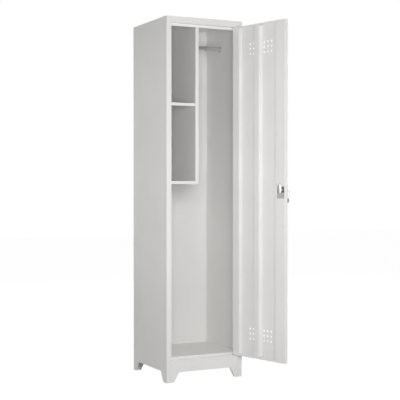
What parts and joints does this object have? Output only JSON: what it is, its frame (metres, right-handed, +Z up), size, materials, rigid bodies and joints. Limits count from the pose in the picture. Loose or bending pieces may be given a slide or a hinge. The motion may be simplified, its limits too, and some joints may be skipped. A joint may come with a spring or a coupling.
{
  "type": "broom cupboard",
  "caption": "Tall free-standing sheet-steel broom cupboard with one lockable door, a divider with shelves on the left and a full-height bay with a hanging rod on the right.",
  "frame": {"origin": "centre of the carcass's footprint, on the floor", "axes": "+X to the right seen from the front, +Y to the back, +Z up"},
  "size_m": [0.5101, 0.7666, 1.8],
  "materials": {
    "painted_steel": "light grey powder coat, satin, very fine texture",
    "zinc_steel": "bright zinc plate",
    "nickel_steel": "nickel plate, satin",
    "dark_steel": "dark phosphated steel, dull",
    "nylon": "natural moulded nylon",
    "grey_plastic": "mid grey moulded, fine spark texture",
    "dark_plastic": "dark grey moulded, matte"
  },
  "bodies": {
    "cabinet": {"side_panel_left": "painted_steel", "side_panel_right": "painted_steel", "top_panel": "painted_steel", "floor_panel": "painted_steel", "back_panel": "painted_steel", "top_rail": "painted_steel", "plinth_rail": "painted_steel", "lower_shelf": "painted_steel", "upper_shelf": "painted_steel", "divider": "painted_steel", "hanging_rod": "zinc_steel", "rod_flange_left": "zinc_steel", "rod_flange_right": "zinc_steel", "rod_flange_screws": "zinc_steel", "hinge_bush_bottom": "nylon", "hinge_bush_top": "nylon"},
    "door": {"door_panel": "painted_steel", "door_rib": "painted_steel", "hinge_block_bottom": "zinc_steel", "hinge_block_top": "zinc_steel", "hinge_pin_bottom": "zinc_steel", "hinge_pin_top": "zinc_steel", "lock_handle": "grey_plastic", "lock_barrel": "dark_steel", "lock_nut": "dark_steel"},
    "lock_core": {"lock_plug": "nickel_steel", "lock_cam": "nickel_steel", "cam_screw": "nickel_steel", "door_key": "nickel_steel", "door_key_head": "dark_plastic"},
    "ring": {"key_ring": "nickel_steel"},
    "spare": {"spare_key": "nickel_steel", "spare_key_head": "dark_plastic"},
    "hook": {"rod_hook": "zinc_steel"}
  },
  "joints": [
    {"name": "door_hinge", "type": "hinge", "parent": "cabinet", "child": "door", "pos_m": [0.1765, -0.204, 0], "axis": [0, 0, 1], "range_deg": [-104.3, 13]},
    {"name": "lock_turn", "type": "hinge", "parent": "door", "child": "lock_core", "pos_m": [0.26432, -0.52423, 0.9475], "axis": [0.969, 0.247, 0], "range_deg": [0, 90]},
    {"name": "ring_swing", "type": "hinge", "parent": "lock_core", "child": "ring", "pos_m": [0.28806, -0.51818, 0.94605], "axis": [0.247, -0.969, 0], "range_deg": [-9, 60]},
    {"name": "spare_key_swing", "type": "hinge", "parent": "ring", "child": "spare", "pos_m": [0.28806, -0.51818, 0.92605], "axis": [0.969, 0.247, 0], "range_deg": [-90, 90]},
    {"name": "hook_slide", "type": "slide", "parent": "cabinet", "child": "hook", "axis": [1, 0, 0], "range_m": [-0.148, 0.0715]}
  ]
}
